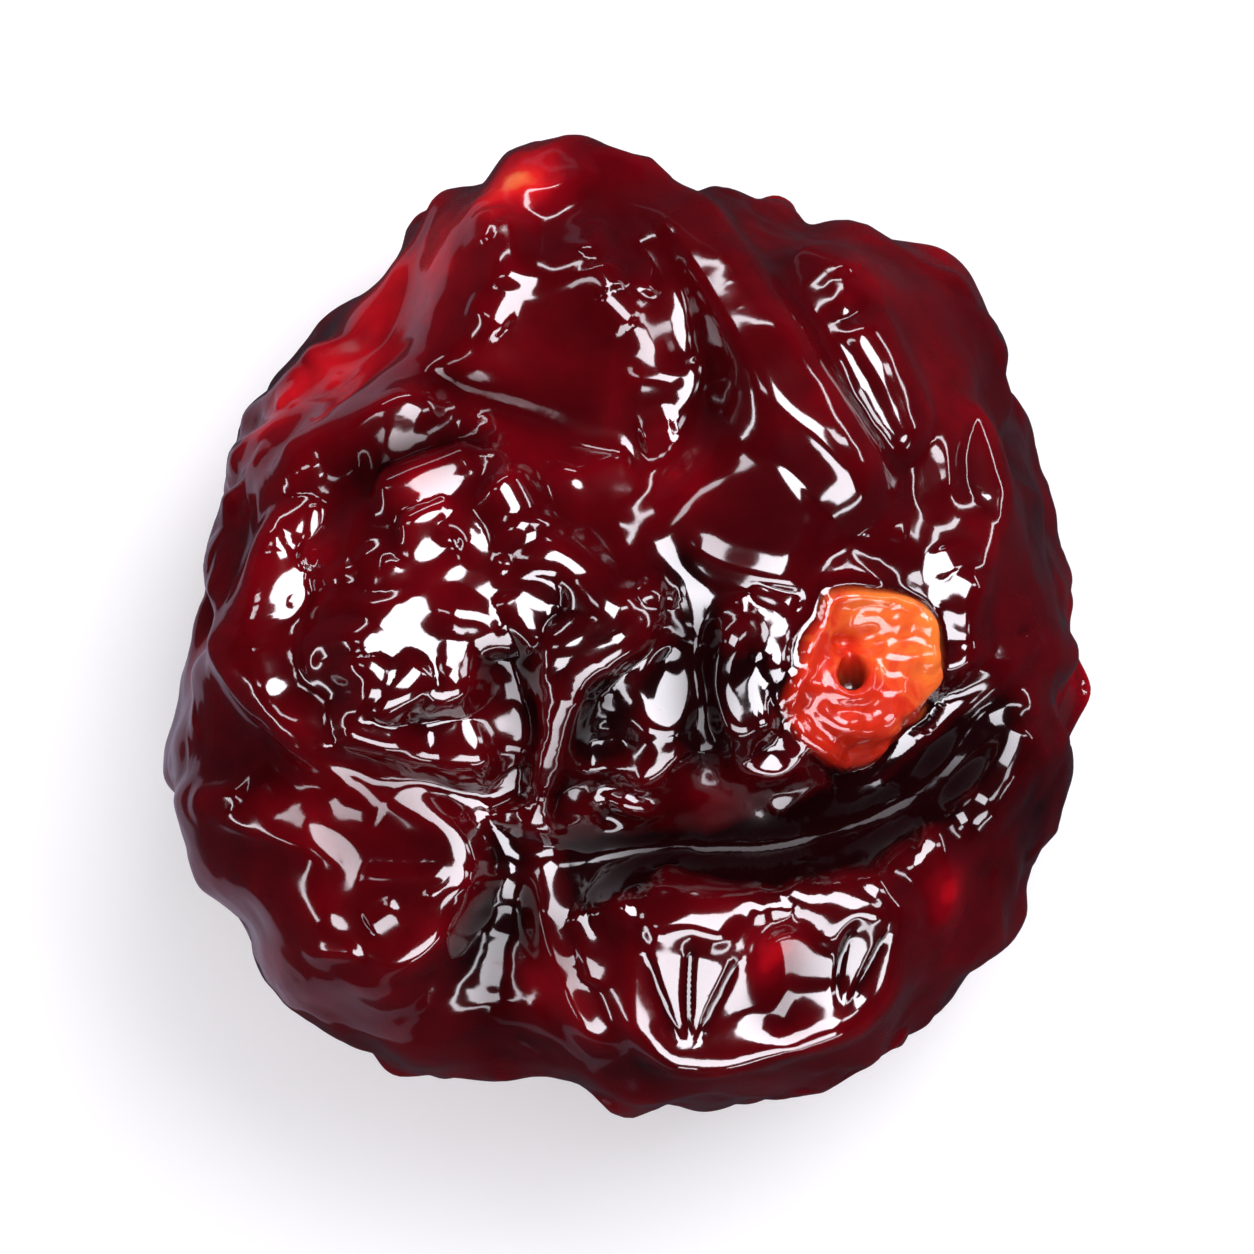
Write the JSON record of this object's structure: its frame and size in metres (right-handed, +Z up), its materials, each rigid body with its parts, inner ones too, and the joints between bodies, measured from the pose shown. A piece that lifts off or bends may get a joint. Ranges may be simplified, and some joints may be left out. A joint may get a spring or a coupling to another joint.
{
  "type": "dried cranberry",
  "caption": "Whole dried cranberry: a plump, glossy, deeply wrinkled fruit with a pucker and a squarish stalk scar, lying on a small flat spot.",
  "frame": {"origin": "on the table, under the middle of the berry's outline as seen from above", "axes": "+Z up, the way the berry lies; +Y along its longest side; +X towards the stalk scar"},
  "size_m": [0.0148, 0.0154, 0.0112],
  "materials": {
    "fruit_skin": "glossy deep red to near-black wrinkled fruit skin, brighter red where thin, with an orange stalk scar"
  },
  "bodies": {
    "root": {"dried_cranberry": "fruit_skin"}
  },
  "joints": []
}
